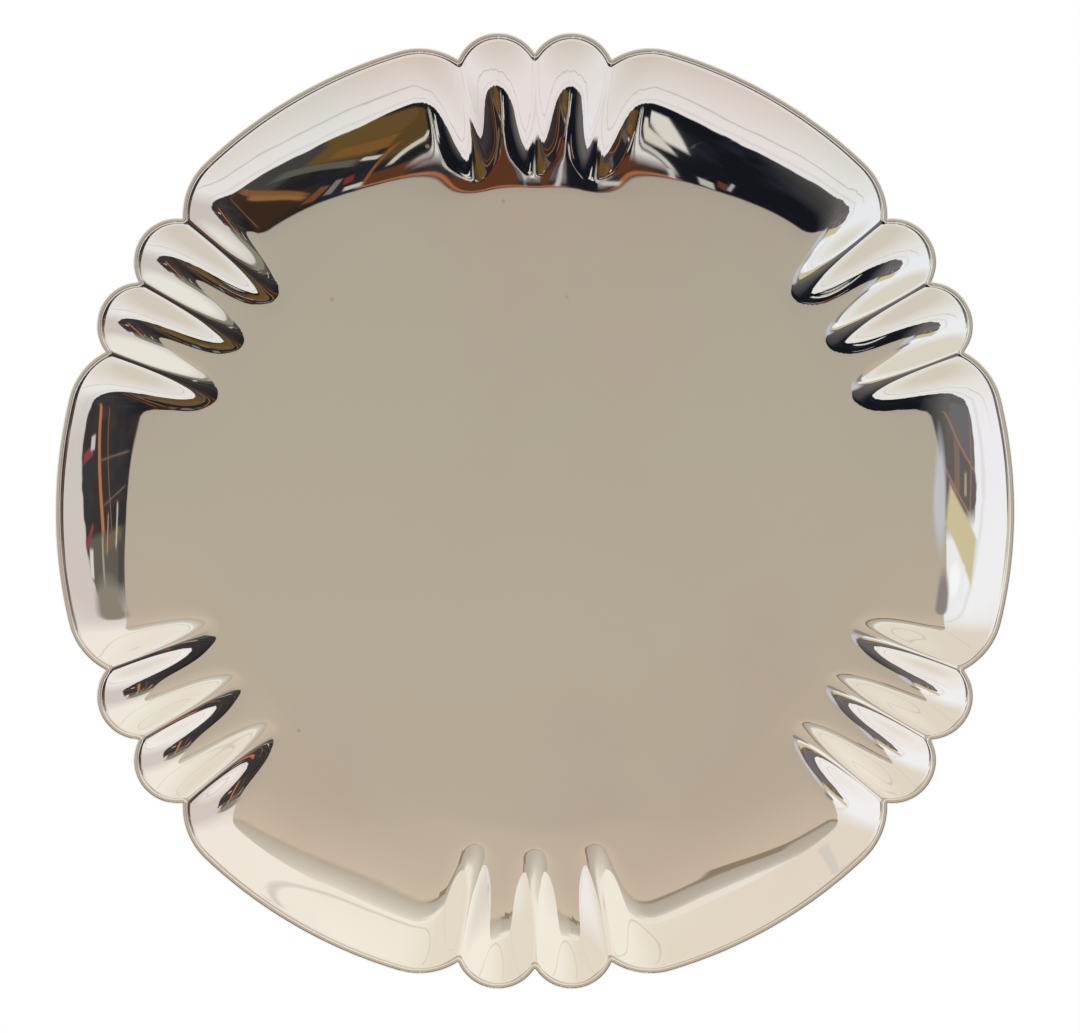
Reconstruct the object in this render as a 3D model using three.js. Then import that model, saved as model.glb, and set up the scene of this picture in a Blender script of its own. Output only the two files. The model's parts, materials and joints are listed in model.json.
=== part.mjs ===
// Low silver dessert stand: a fluted dish with an applied rim wire, raised on a spun foot.
// Millimetres, +Z up. The origin is at the middle of the foot's underside.
import * as THREE from 'three';

// Dish
const dishDiameter = 280; // across the crowns of the lobes
const fluteGroups = 6; // groups of flutes round the rim
const lobeWidth = 22.56; // from one cusp of the rim to the next
const cuspDepth = 6.2; // how far a cusp lies inside the dish's circle
const shoulderRadius = 21.2; // round between an outer cusp and the plain rim
const dishSheet = 1.2; // thickness of the sheet, measured upright
const wallHeight = 14.4; // from the well up to the lip
const wallRun = 54; // radial width of the rising wall
const wallPower = 2.9; // how the wall steepens towards the lip
const apronRun = 48.7; // from the dish's circle inwards to where a flute group starts to rise
const apronSlope = 0.27; // how fast the sheet rises between the ridges of a group
const apronEase = 4.5; // how softly that rise starts
const apronFade = 2.1; // how that rise gives way to the wall towards the lip
const ridgeRun = 46.3; // from the dish's circle inwards to the nose of a ridge
const ridgeFootWidth = 17.2; // width of a ridge where its half-round nose ends
const ridgeSpread = 0.15; // how fast each side of a ridge widens towards the rim
const ridgePower = 2.9; // how a ridge's sides hollow out towards the valleys
const noseEase = 0.067; // share of a ridge's length over which its nose eases up
const noseFullness = 3.75; // roundness of a ridge at its nose, where 0 is a sharp fold
const noseBow = 3.5; // how far the sides of a nose start behind its tip
const noseRound = 4; // how much softer a ridge's crest is at its nose than at the lip
const crestRound = 1.8; // how softly the crest is rounded at the lip
const crestPower = 1.11; // how a ridge's crest steepens towards the lip
const lipPower = 4; // how late a ridge's rounded crest turns into the sharp cusp of the lip
const lipSetback = 0.15; // how far the lip stays inside the rim wire

// Rim wire
const rimWireWidth = 1.6;
const rimWireHeight = 1.2;

// Centre fastening
const studDiameter = 6;
const studProjection = 2; // how far the stud stands out of its nut
const nutWall = 2; // from the thread to a flat of the nut
const nutSides = 6;
const nutHeight = 5;
const washerWidth = 3; // radial width of the split washer
const washerThickness = 1.6;
const washerGap = 1.5; // opening of the split
const plateThickness = 2;

// Boss under the dish
const spigotWall = 3.7; // metal round the tapped hole
const spigotReach = 8; // how far the spigot goes down into the stem
const bossThickness = 2.8;
const bossLedge = 5; // how far the boss stands out past the collar
const bossBevel = 1.2; // bevel of the boss's lower edge

// Stem and its collar
const stemHeight = 11.4;
const stemWall = 2.7; // at the waist
const stemFlare = 5; // from the waist out to each end
const stemLand = 1.5; // plain band at each end
const tenonWall = 1.8; // of the tenon that centres the stem on the foot
const collarHeight = 4;
const collarBead = 1.8; // how far the bead stands out past the stem

// Foot
const footDiameter = 124; // across the foot wire
const footHeight = 35; // from the table up to the foot's neck
const footSheet = 1.2;
const footBand = 3; // plain band above the wire
const footOvolo = 3; // quarter round above the band
const footFillet = 2; // flat ledge inside the quarter round
const neckLedge = 2; // how far the neck stands out past the stem
const footWireHeight = 3;
const footWireWidth = 3.6;
const footWireLip = 0.8; // how far the wire stands out past the band

// Clearances
const threadClearance = 0.3; // round the stud
const slideClearance = 0.3; // between a spigot or tenon and its socket
const plateClearance = 1.8; // between the clamp plate and the inside of the neck

// Mesh fineness
const lobeSteps = 8; // round one lobe of the rim
const shoulderSteps = 4; // round one shoulder
const panelSteps = 6; // along the plain rim between two groups
const wallRings = 9; // from the well up to the lip
const crownSteps = 4; // over the rim wire
const beadSteps = 6; // round the collar's bead
const waistSteps = 8; // along the hollow of the stem
const ovoloSteps = 3; // over the foot's quarter round
const sweepSteps = 7; // up the sweep of the foot
const bulgeSteps = 5; // round the outside of the foot wire
const turnSteps = 32; // round a small turned piece
const footSteps = 48; // round the foot

// Plan of the rim
const dishRadius = dishDiameter / 2;
const cuspRadius = dishRadius - cuspDepth;
const halfPitch = Math.asin(lobeWidth / 2 / cuspRadius);
const pitch = 2 * halfPitch;
const lobeRise = dishRadius - cuspRadius * Math.cos(halfPitch);
const lobeRadius = (lobeRise ** 2 + (lobeWidth / 2) ** 2) / (2 * lobeRise);
const shoulderCentre = dishRadius - shoulderRadius;
const shoulderCosine = (cuspRadius ** 2 + shoulderCentre ** 2 - shoulderRadius ** 2)
  / (2 * cuspRadius * shoulderCentre);
const shoulderAngle = Math.acos(shoulderCosine);
const sectorAngle = (2 * Math.PI) / fluteGroups;

// Heights of the stack
const neckTop = footHeight;
const stemTop = neckTop + stemHeight;
const collarTop = stemTop + collarHeight;
const dishSeat = collarTop + bossThickness;
const lipTop = dishSeat + dishSheet + wallHeight;
const plateTop = neckTop - footSheet;
const washerTop = plateTop - plateThickness;
const nutTop = washerTop - washerThickness;
const spigotBottom = stemTop - spigotReach;
const studTop = collarTop - threadClearance;
const studBottom = nutTop - nutHeight - studProjection;

// Radii of the stack, each from the piece inside it
const studRadius = studDiameter / 2;
const studHole = studRadius + threadClearance;
const spigotRadius = studHole + spigotWall;
const socketRadius = spigotRadius + slideClearance;
const tenonRadius = socketRadius + tenonWall;
const neckHole = tenonRadius + slideClearance;
const waistRadius = socketRadius + stemWall;
const stemRadius = waistRadius + stemFlare;
const collarRadius = stemRadius + collarBead;
const bossRadius = collarRadius + bossLedge;
const neckRadius = stemRadius + neckLedge;

const silver = { color: 0xf0ece4, roughness: 0.06, metalness: 1 };
const turnedSilver = { color: 0xece8e0, roughness: 0.14, metalness: 1 };
const steel = { color: 0x9da0a3, roughness: 0.35, metalness: 1 };
const brass = { color: 0xb89656, roughness: 0.4, metalness: 1 };

const stand = new THREE.Group();

function addPiece(name, geometry, finish, height) {
  const mesh = new THREE.Mesh(geometry, new THREE.MeshStandardMaterial(finish));
  mesh.name = name;
  mesh.position.z = height;
  stand.add(mesh);
}

// Radius of a round edge at an angle from the line to its centre
function arcReach(angle, centre, radius) {
  const side = centre * Math.sin(angle);
  return centre * Math.cos(angle) + Math.sqrt(Math.max(radius ** 2 - side ** 2, 0));
}

// Radius of the rim at an angle from the middle of a flute group, drawn in by inset
function rimRadius(angle, inset) {
  const turn = Math.abs(angle);
  const fromCusp = Math.min(turn, Math.abs(turn - pitch));
  const side = cuspRadius * Math.sin(fromCusp);
  if (side < inset / 2) {
    return cuspRadius * Math.cos(fromCusp) - Math.sqrt(inset ** 2 - side ** 2);
  }
  if (turn <= pitch) {
    return arcReach(turn - halfPitch, dishRadius - lobeRadius, lobeRadius - inset);
  }
  if (turn <= pitch + shoulderAngle) {
    return arcReach(turn - pitch - shoulderAngle, shoulderCentre, shoulderRadius - inset);
  }
  return dishRadius - inset;
}

// Gentle rise of the sheet between the ridges, which fades out towards the middle of a plain stretch
function apronLevel(radius, turn, share) {
  const plainMiddle = sectorAngle / 2;
  const within = Math.min((plainMiddle - turn) / (plainMiddle - pitch), 1);
  const blend = within ** 2 * (3 - 2 * within);
  const past = Math.max(radius - (dishRadius - apronRun), 0);
  const climb = apronSlope * (Math.hypot(past, apronEase) - apronEase);
  return climb * Math.max(1 - share, 0) ** apronFade * blend;
}

// Radius of the lip with the corner at each cusp rounded off, for the crest below it
function easedLip(radius, turn, soft) {
  const crestTurn = turn < halfPitch ? 0 : pitch;
  const away = (turn - crestTurn) / halfPitch;
  const share = soft / (halfPitch * radius);
  const eased = ((Math.hypot(away, share) - share) / (Math.hypot(1, share) - share)) * halfPitch;
  return rimRadius(crestTurn + Math.sign(away) * eased, rimWireWidth);
}

// Height of the dish above its well, where lip is the radius of the lip in that direction
function wallLevel(radius, angle, lip) {
  const wallStart = dishRadius - wallRun;
  const nose = dishRadius - ridgeRun;
  const turn = Math.abs(angle);
  const reach = radius - nose;
  const up = Math.min(Math.max(reach / (lip - nose), 0), 1);
  const soft = crestRound + noseRound * (1 - up) ** 2;
  const softLip = easedLip(radius, turn, soft);
  const top = softLip + (lip - softLip) * up ** lipPower;
  const share = Math.max((radius - wallStart) / (top - wallStart), 0);
  const valley = wallHeight * share ** wallPower + apronLevel(radius, turn, share);
  if (reach <= 0) return valley;
  const away = Math.min(turn, Math.abs(turn - pitch)) * radius;
  const foot = ridgeFootWidth / 2;
  const halfWidth = reach < foot
    ? Math.sqrt(foot ** 2 - (foot - reach) ** 2)
    : foot + ridgeSpread * (reach - foot);
  const across = Math.min((Math.hypot(away, soft) - soft) / (Math.hypot(halfWidth, soft) - soft), 1);
  const along = Math.min(reach / (top - nose), 1);
  const fullness = noseFullness * (1 - along) ** 2;
  const fold = (1 - across) ** ridgePower * (1 + fullness * across);
  const behind = noseBow * across * (1 - along) ** 2;
  const run = Math.max(along - behind / (top - nose), 0);
  const eased = (Math.hypot(run, noseEase) - noseEase) / (Math.hypot(1, noseEase) - noseEase);
  const crest = wallHeight * eased ** crestPower;
  return valley + Math.max(crest - valley, 0) * fold;
}

// Directions round the dish: each has its own angle and its angle from its group's middle
function rimStations() {
  const stretches = [
    [0, pitch, lobeSteps],
    [pitch, pitch + shoulderAngle, shoulderSteps],
    [pitch + shoulderAngle, sectorAngle / 2, panelSteps / 2],
  ];
  const half = [];
  for (const [from, to, steps] of stretches) {
    for (let step = 0; step < steps; step += 1) half.push(from + ((to - from) * step) / steps);
  }
  const whole = [-sectorAngle / 2, ...half.slice(1).map((angle) => -angle).reverse(), ...half];
  const stations = [];
  for (let group = 0; group < fluteGroups; group += 1) {
    const middle = sectorAngle * (group + 0.5);
    for (const local of whole) stations.push({ angle: middle + local, local });
  }
  return stations;
}

const stations = rimStations();

// Closed mesh from loops of points, each loop with one point per station
function meshFromLoops(loops, topCentre, bottomCentre) {
  const count = stations.length;
  const positions = loops.flat(2);
  const faces = [];
  const ring = topCentre === undefined ? loops.length : loops.length - 1;
  for (let row = 0; row < ring; row += 1) {
    const here = row * count;
    const there = ((row + 1) % loops.length) * count;
    for (let column = 0; column < count; column += 1) {
      const next = (column + 1) % count;
      faces.push(here + column, there + column, there + next);
      faces.push(here + column, there + next, here + next);
    }
  }
  if (topCentre !== undefined) {
    const top = loops.length * count;
    const last = (loops.length - 1) * count;
    positions.push(0, 0, topCentre, 0, 0, bottomCentre);
    for (let column = 0; column < count; column += 1) {
      const next = (column + 1) % count;
      faces.push(top, column, next);
      faces.push(top + 1, last + next, last + column);
    }
  }
  const geometry = new THREE.BufferGeometry();
  geometry.setAttribute('position', new THREE.Float32BufferAttribute(positions, 3));
  geometry.setIndex(faces);
  geometry.computeVertexNormals();
  return geometry;
}

function pointAt(station, radius, level) {
  return [radius * Math.cos(station.angle), radius * Math.sin(station.angle), level];
}

// One loop of the dish's upper face: ring 0 is the edge of the well, the last is the lip's outer edge
function dishLoop(ring, drop) {
  const start = dishRadius - Math.max(wallRun, apronRun, ridgeRun);
  return stations.map((station) => {
    const lip = rimRadius(station.local, rimWireWidth);
    if (ring > wallRings) {
      return pointAt(station, rimRadius(station.local, lipSetback), dishSheet + wallHeight - drop);
    }
    const radius = start + ((lip - start) * ring) / wallRings;
    return pointAt(station, radius, dishSheet + wallLevel(radius, station.local, lip) - drop);
  });
}

function makeDish() {
  const upper = [];
  const lower = [];
  for (let ring = 0; ring <= wallRings + 1; ring += 1) {
    upper.push(dishLoop(ring, 0));
    lower.unshift(dishLoop(ring, dishSheet));
  }
  return meshFromLoops([...upper, ...lower], dishSheet, 0);
}

// The rim wire has a flat underside, upright sides and a rounded crown
function makeRimWire() {
  const section = [[rimWireWidth, 0]];
  for (let step = crownSteps; step >= 0; step -= 1) {
    const swing = (Math.PI * step) / crownSteps;
    const inset = (rimWireWidth / 2) * (1 - Math.cos(swing));
    section.push([inset, (rimWireHeight / 2) * (1 + Math.sin(swing))]);
  }
  section.push([0, 0]);
  const loops = section.map(([inset, level]) => stations.map(
    (station) => pointAt(station, rimRadius(station.local, inset), level),
  ));
  return meshFromLoops(loops);
}

// Turned piece from [radius, height] points, up the outside and down the inside
function turned(profile, steps) {
  const closed = profile.concat([profile[0]]);
  const points = closed.map(([radius, level]) => new THREE.Vector2(radius, level));
  return new THREE.LatheGeometry(points, steps).rotateX(Math.PI / 2);
}

// Points of an elliptic arc in a turned profile, from one angle to another
function arcPoints(centre, size, from, to, steps) {
  const points = [];
  for (let step = 0; step <= steps; step += 1) {
    const swing = from + ((to - from) * step) / steps;
    points.push([centre[0] + size[0] * Math.cos(swing), centre[1] + size[1] * Math.sin(swing)]);
  }
  return points;
}

const quarter = Math.PI / 2;

function makeBoss() {
  const seat = dishSeat - spigotBottom;
  const under = collarTop - spigotBottom;
  return turned([
    [studHole, 0],
    [spigotRadius, 0],
    [spigotRadius, under],
    [bossRadius - bossBevel, under],
    [bossRadius, under + bossBevel],
    [bossRadius, seat],
    [0, seat],
    [0, under],
    [studHole, under],
  ], turnSteps);
}

function makeCollar() {
  const bead = arcPoints(
    [stemRadius, collarHeight / 2],
    [collarBead, collarHeight / 2],
    -quarter,
    quarter,
    beadSteps,
  );
  return turned([[socketRadius, 0], ...bead, [socketRadius, collarHeight]], turnSteps);
}

function makeStem() {
  const waist = stemHeight / 2;
  const hollow = arcPoints(
    [stemRadius, waist],
    [-stemFlare, waist - stemLand],
    -quarter,
    quarter,
    waistSteps,
  );
  const tenon = -(footSheet - slideClearance);
  return turned([
    [socketRadius, tenon],
    [tenonRadius, tenon],
    [tenonRadius, 0],
    [stemRadius, 0],
    ...hollow,
    [stemRadius, stemHeight],
    [socketRadius, stemHeight],
  ], turnSteps);
}

// One face of the spun foot, up to a level in its neck: drawn in by inset for the inner face
function footFace(inset, top) {
  const band = footDiameter / 2 - footWireLip;
  const ledge = footWireHeight + footBand + footOvolo;
  const sweepStart = band - footOvolo - footFillet;
  const round = arcPoints(
    [band - footOvolo, ledge - footOvolo],
    [footOvolo - inset, footOvolo - inset],
    0,
    quarter,
    ovoloSteps,
  );
  const sweepHeight = neckTop - ledge + inset;
  const sweep = arcPoints(
    [sweepStart, neckTop],
    [sweepStart - neckRadius + inset, sweepHeight],
    -quarter,
    -2 * quarter + Math.asin((neckTop - top) / sweepHeight),
    sweepSteps,
  );
  return [[band - inset, footWireHeight], ...round, ...sweep];
}

function makeFootShell() {
  const outer = footFace(0, neckTop);
  const inner = footFace(footSheet, plateTop);
  return turned([
    ...outer,
    [neckHole, neckTop],
    [neckHole, plateTop],
    ...inner.reverse(),
  ], footSteps);
}

function makeFootWire() {
  const outside = footDiameter / 2;
  const bulge = arcPoints(
    [outside - footWireHeight / 2, footWireHeight / 2],
    [footWireHeight / 2, footWireHeight / 2],
    -quarter,
    quarter,
    bulgeSteps,
  );
  const inside = outside - footWireWidth;
  return turned([[inside, 0], ...bulge, [inside, footWireHeight]], footSteps);
}

function makeStud() {
  const length = studTop - studBottom;
  return turned([[0, 0], [studRadius, 0], [studRadius, length], [0, length]], turnSteps);
}

function makePlate() {
  const plateRadius = neckRadius - footSheet - plateClearance;
  return turned([
    [studHole, 0],
    [plateRadius, 0],
    [plateRadius, plateThickness],
    [studHole, plateThickness],
  ], turnSteps);
}

function makeWasher() {
  const outside = studHole + washerWidth;
  const shape = new THREE.Shape();
  const outerGap = Math.asin(washerGap / 2 / outside);
  const innerGap = Math.asin(washerGap / 2 / studHole);
  shape.absarc(0, 0, outside, outerGap, 2 * Math.PI - outerGap, false);
  shape.absarc(0, 0, studHole, 2 * Math.PI - innerGap, innerGap, true);
  return new THREE.ExtrudeGeometry(shape, {
    depth: washerThickness,
    bevelEnabled: false,
    curveSegments: turnSteps,
  });
}

function makeNut() {
  const corner = (studRadius + nutWall) / Math.cos(Math.PI / nutSides);
  const shape = new THREE.Shape();
  for (let side = 0; side < nutSides; side += 1) {
    const swing = ((2 * Math.PI) / nutSides) * side;
    const x = corner * Math.cos(swing);
    const y = corner * Math.sin(swing);
    if (side === 0) shape.moveTo(x, y);
    else shape.lineTo(x, y);
  }
  shape.closePath();
  const hole = new THREE.Path();
  hole.absarc(0, 0, studHole, 0, 2 * Math.PI, true);
  shape.holes.push(hole);
  return new THREE.ExtrudeGeometry(shape, {
    depth: nutHeight,
    bevelEnabled: false,
    curveSegments: turnSteps,
  });
}

addPiece('dish', makeDish(), silver, dishSeat);
addPiece('rim_wire', makeRimWire(), silver, lipTop);
addPiece('dish_boss', makeBoss(), brass, spigotBottom);
addPiece('stem_collar', makeCollar(), turnedSilver, stemTop);
addPiece('stem', makeStem(), turnedSilver, neckTop);
addPiece('foot_shell', makeFootShell(), turnedSilver, 0);
addPiece('foot_wire', makeFootWire(), turnedSilver, 0);
addPiece('tie_stud', makeStud(), steel, studBottom);
addPiece('clamp_plate', makePlate(), brass, washerTop);
addPiece('spring_washer', makeWasher(), steel, nutTop);
addPiece('foot_nut', makeNut(), steel, nutTop - nutHeight);

export default stand;
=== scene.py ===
"""Looks of a low silver dessert stand: a fluted dish with an applied rim wire on a spun foot, in metres."""
import json
import math

import bpy
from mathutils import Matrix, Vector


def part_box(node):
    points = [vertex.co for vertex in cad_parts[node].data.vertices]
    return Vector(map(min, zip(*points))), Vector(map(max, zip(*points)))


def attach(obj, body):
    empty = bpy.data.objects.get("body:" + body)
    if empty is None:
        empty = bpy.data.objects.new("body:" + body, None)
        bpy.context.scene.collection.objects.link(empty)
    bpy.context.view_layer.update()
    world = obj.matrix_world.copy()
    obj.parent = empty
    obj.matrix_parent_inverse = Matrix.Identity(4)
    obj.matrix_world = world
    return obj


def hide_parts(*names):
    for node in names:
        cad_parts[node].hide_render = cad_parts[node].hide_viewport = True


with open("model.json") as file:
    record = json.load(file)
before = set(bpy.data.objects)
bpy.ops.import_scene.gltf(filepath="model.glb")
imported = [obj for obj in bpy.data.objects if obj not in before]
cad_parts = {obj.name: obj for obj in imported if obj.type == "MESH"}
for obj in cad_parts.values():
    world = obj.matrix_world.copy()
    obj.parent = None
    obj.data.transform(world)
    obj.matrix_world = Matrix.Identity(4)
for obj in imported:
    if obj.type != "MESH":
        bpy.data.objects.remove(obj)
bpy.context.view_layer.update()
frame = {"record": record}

bl_info = {
    "name": "Dessert Stand",
    "version": (1, 0, 0),
    "blender": (4, 5, 0),
    "location": "3D View > Sidebar > Stand",
    "description": "Builds the finished look of a low silver dessert stand",
    "category": "Add Mesh",
}

BODY = "root"
EDGE_HAIR = 0.0001  # the finished rim stays this far inside the frame's box
WELD = 0.000001  # points closer than this are one
EASED_ANGLE = math.radians(35)  # edges sharper than this are rounded
SMOOTH_ANGLE = math.radians(40)  # faces that meet flatter than this shade as one
DISH_SHEET = 0.0012
LIP_POWER = 4  # how late a ridge's rounded crest turns into the sharp cusp of the lip
WALL_BUNCH = 0.3  # how much closer than even the mesh rows lie at the foot of the wall
WIRE_EDGE_STEPS = 5  # round each edge of the rim wire
BEAD_STEPS = 16  # round the collar's bead
WAIST_STEPS = 20  # along the hollow of the stem
OVOLO_STEPS = 8  # over the foot's quarter round
SWEEP_STEPS = 28  # up the sweep of the foot
BULGE_STEPS = 14  # round the outside of the foot wire
NUT_SIDES = 6
THREAD_STEPS = 24  # in one turn of the stud's thread
THREAD_SHARES = (0.2, 0.45, 0.6)  # of the pitch: where the root ends, the crest starts and ends
PAPER_WHITE = (0.9, 0.9, 0.9)
SENSOR_WIDTH = 36  # of the camera, in millimetres
LOWEST_SIGHT = -0.9  # directions lower than this are painted as this one
SLOT_COLOURS = {slot["slot"]: slot["base_color"] for slot in frame["record"]["materials"]}
RIM_LOW, RIM_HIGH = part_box("rim_wire")
DISH_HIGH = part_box("dish")[1]
WIRE_LOW, WIRE_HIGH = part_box("foot_wire")
SHELL_LOW, SHELL_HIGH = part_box("foot_shell")
COLLAR_LOW, COLLAR_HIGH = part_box("stem_collar")
BOSS_LOW, BOSS_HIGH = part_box("dish_boss")
PLATE_LOW, PLATE_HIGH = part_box("clamp_plate")
WASHER_LOW, WASHER_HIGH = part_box("spring_washer")
NUT_LOW, NUT_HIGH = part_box("foot_nut")
STUD_LOW, STUD_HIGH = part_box("tie_stud")


# Properties

def length(name, description, default):
    return bpy.props.FloatProperty(
        name=name, description=description, default=default, unit="LENGTH", precision=5)


def number(name, description, default):
    return bpy.props.FloatProperty(name=name, description=description, default=default)


def count(name, description, default):
    return bpy.props.IntProperty(name=name, description=description, default=default, min=1)


def colour(name, description, default):
    return bpy.props.FloatVectorProperty(
        name=name, description=description, default=default, subtype="COLOR", size=3, min=0, max=1)


class DishSizes(bpy.types.PropertyGroup):
    """Sizes of the dish and of the wire along its rim."""

    radius: length("Radius", "From the axis to the crowns of the lobes", RIM_HIGH.x - EDGE_HAIR)
    lobe_width: length("Lobe width", "From one cusp of the rim to the next", 0.02256)
    cusp_depth: length("Cusp depth", "How far a cusp lies inside the dish's circle", 0.0062)
    shoulder_radius: length("Shoulder", "Round between an outer cusp and the plain rim", 0.0212)
    sheet: length("Sheet", "Thickness of the sheet, measured upright", DISH_SHEET)
    well_top: length("Well top", "Height of the flat well", BOSS_HIGH.z + DISH_SHEET)
    lip_top: length("Lip top", "Height of the lip that carries the wire", DISH_HIGH.z)
    wall_run: length("Wall run", "Radial width of the rising wall", 0.054)
    wall_power: number("Wall power", "How the wall steepens towards the lip", 2.9)
    apron_run: length("Apron run", "From the dish's circle inwards to where a group starts to rise", 0.0487)
    apron_slope: number("Apron slope", "How fast the sheet rises between the ridges of a group", 0.27)
    apron_ease: length("Apron ease", "How softly that rise starts", 0.0045)
    apron_fade: number("Apron fade", "How that rise gives way to the wall towards the lip", 2.1)
    ridge_run: length("Ridge run", "From the dish's circle inwards to the nose of a ridge", 0.0463)
    ridge_foot: length("Ridge foot", "Half width of a ridge where its round nose ends", 0.0086)
    ridge_spread: number("Ridge spread", "How fast each side of a ridge widens towards the rim", 0.15)
    ridge_power: number("Ridge power", "How a ridge's sides hollow out towards the valleys", 2.9)
    nose_ease: number("Nose ease", "Share of a ridge's length over which its nose eases up", 0.067)
    nose_fullness: number("Nose fullness", "Roundness of a ridge at its nose", 3.75)
    crest_power: number("Crest power", "How a ridge's crest steepens towards the lip", 1.11)
    crest_round: length("Crest round", "How softly the crest of a ridge is rounded at the lip", 0.0018)
    nose_round: length("Nose round", "How much more softly it is rounded at its nose", 0.004)
    nose_bow: length("Nose bow", "How far the sides of a nose start behind its tip", 0.0035)
    lip_setback: length("Lip setback", "How far the lip stays inside the rim wire", 0.00015)
    wire_width: length("Wire width", "Width of the rim wire", 0.0016)
    wire_round: length("Wire round", "Round of the rim wire's edges", 0.0006)
    groups: count("Groups", "Groups of flutes round the rim", 6)
    lobe_steps: count("Lobe steps", "Mesh steps round one lobe", 28)
    shoulder_steps: count("Shoulder steps", "Mesh steps round one shoulder", 18)
    panel_steps: count("Panel steps", "Mesh steps along half a plain stretch of the rim", 13)
    well_rows: count("Well rows", "Mesh rows over the flat well", 4)
    wall_rows: count("Wall rows", "Mesh rows up the wall", 58)


class FootSizes(bpy.types.PropertyGroup):
    """Sizes of the boss, stem and foot under the dish."""

    spigot_radius: length("Spigot", "Radius of the boss's spigot", 0.007)
    boss_bevel: length("Boss bevel", "Bevel of the boss's lower edge", 0.0012)
    socket_radius: length("Socket", "Radius of the bore through collar and stem", 0.0073)
    waist_radius: length("Waist", "Radius of the stem at its waist", 0.010)
    stem_radius: length("Stem ends", "Radius of the stem at its ends", 0.015)
    stem_land: length("Stem land", "Plain band at each end of the stem", 0.0015)
    tenon_radius: length("Tenon", "Radius of the tenon that centres the stem on the foot", 0.0091)
    tenon_reach: length("Tenon reach", "How far the tenon goes down into the foot's neck", 0.0009)
    neck_radius: length("Neck", "Outer radius of the foot's neck", 0.017)
    neck_hole: length("Neck hole", "Radius of the hole in the foot's neck", 0.0094)
    foot_sheet: length("Foot sheet", "Thickness of the spun foot", 0.0012)
    foot_band: length("Foot band", "Plain band above the foot wire", 0.003)
    foot_ovolo: length("Foot ovolo", "Quarter round above the band", 0.003)
    foot_fillet: length("Foot fillet", "Flat ledge inside the quarter round", 0.002)
    wire_width: length("Foot wire width", "Radial width of the ring under the foot", 0.0036)
    edge: length("Edge", "Round of the turned edges", 0.0002)
    steps: count("Steps", "Mesh steps round a turned piece", 144)


class FasteningSizes(bpy.types.PropertyGroup):
    """Sizes of the stud, plate, washer and nut inside the foot."""

    stud_hole: length("Stud hole", "Radius of the holes round the stud", 0.0033)
    thread_pitch: length("Thread pitch", "Rise of the stud's thread in one turn", 0.001)
    thread_depth: length("Thread depth", "Depth of the stud's thread", 0.0005)
    washer_gap: number("Washer gap", "Opening of the split washer, in degrees", 15)
    nut_chamfer: length("Nut chamfer", "How far the nut's corners are cut back", 0.0006)
    edge: length("Edge", "Round of the small edges", 0.00015)
    steps: count("Steps", "Mesh steps round a small piece", 72)


class Finishes(bpy.types.PropertyGroup):
    """Colours of the metals, and of the shade painted on the dish's far side."""

    polished: colour("Polished silver", "Colour of the dish", SLOT_COLOURS["polished_silver"])
    turned: colour("Turned silver", "Colour of the stem and foot", SLOT_COLOURS["turned_silver"])
    steel: colour("Steel", "Colour of the stud, washer and nut", SLOT_COLOURS["steel"])
    brass: colour("Brass", "Colour of the boss and plate", SLOT_COLOURS["brass"])
    dull_steel: colour("Dull steel", "Colour of the dull patches on the steel", (0.36, 0.35, 0.34))
    browned: colour("Browned brass", "Colour of the brass where it has browned", (0.38, 0.26, 0.13))
    tarnish: colour("Tarnish", "Colour of the thin film that silver takes on", (0.62, 0.53, 0.42))
    # Painted shade: a darker, cooler colour painted over the dish's far side, towards +Y, in place of the
    # dimmer reflection there.
    film: colour("Far side shade", "Colour of the dish where its far side has dulled", (0.79, 0.82, 0.82))
    stain: colour("Stain", "Colour of the faint clouds that polish leaves", (0.88, 0.78, 0.82))


class StageSettings(bpy.types.PropertyGroup):
    """Floor, surroundings and camera."""

    floor_size: length("Floor size", "Width of the floor", 8)
    camera_height: length("Camera height", "From the rim up to the camera", 2.5)
    view_width: length("View width", "Width that the picture covers at the rim's level", 0.31468)
    aim_right: length("Aim right", "How far the camera stands right of the axis", 0.0015)
    aim_up: length("Aim up", "How far the camera stands up the picture from the axis", -0.0016)
    floor_glow: number("Floor glow", "Share of the floor that is seen as plain white", 0.95)
    floor_light: number("Floor light", "Brightness of that white", 1.03)


# Shader sums

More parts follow.
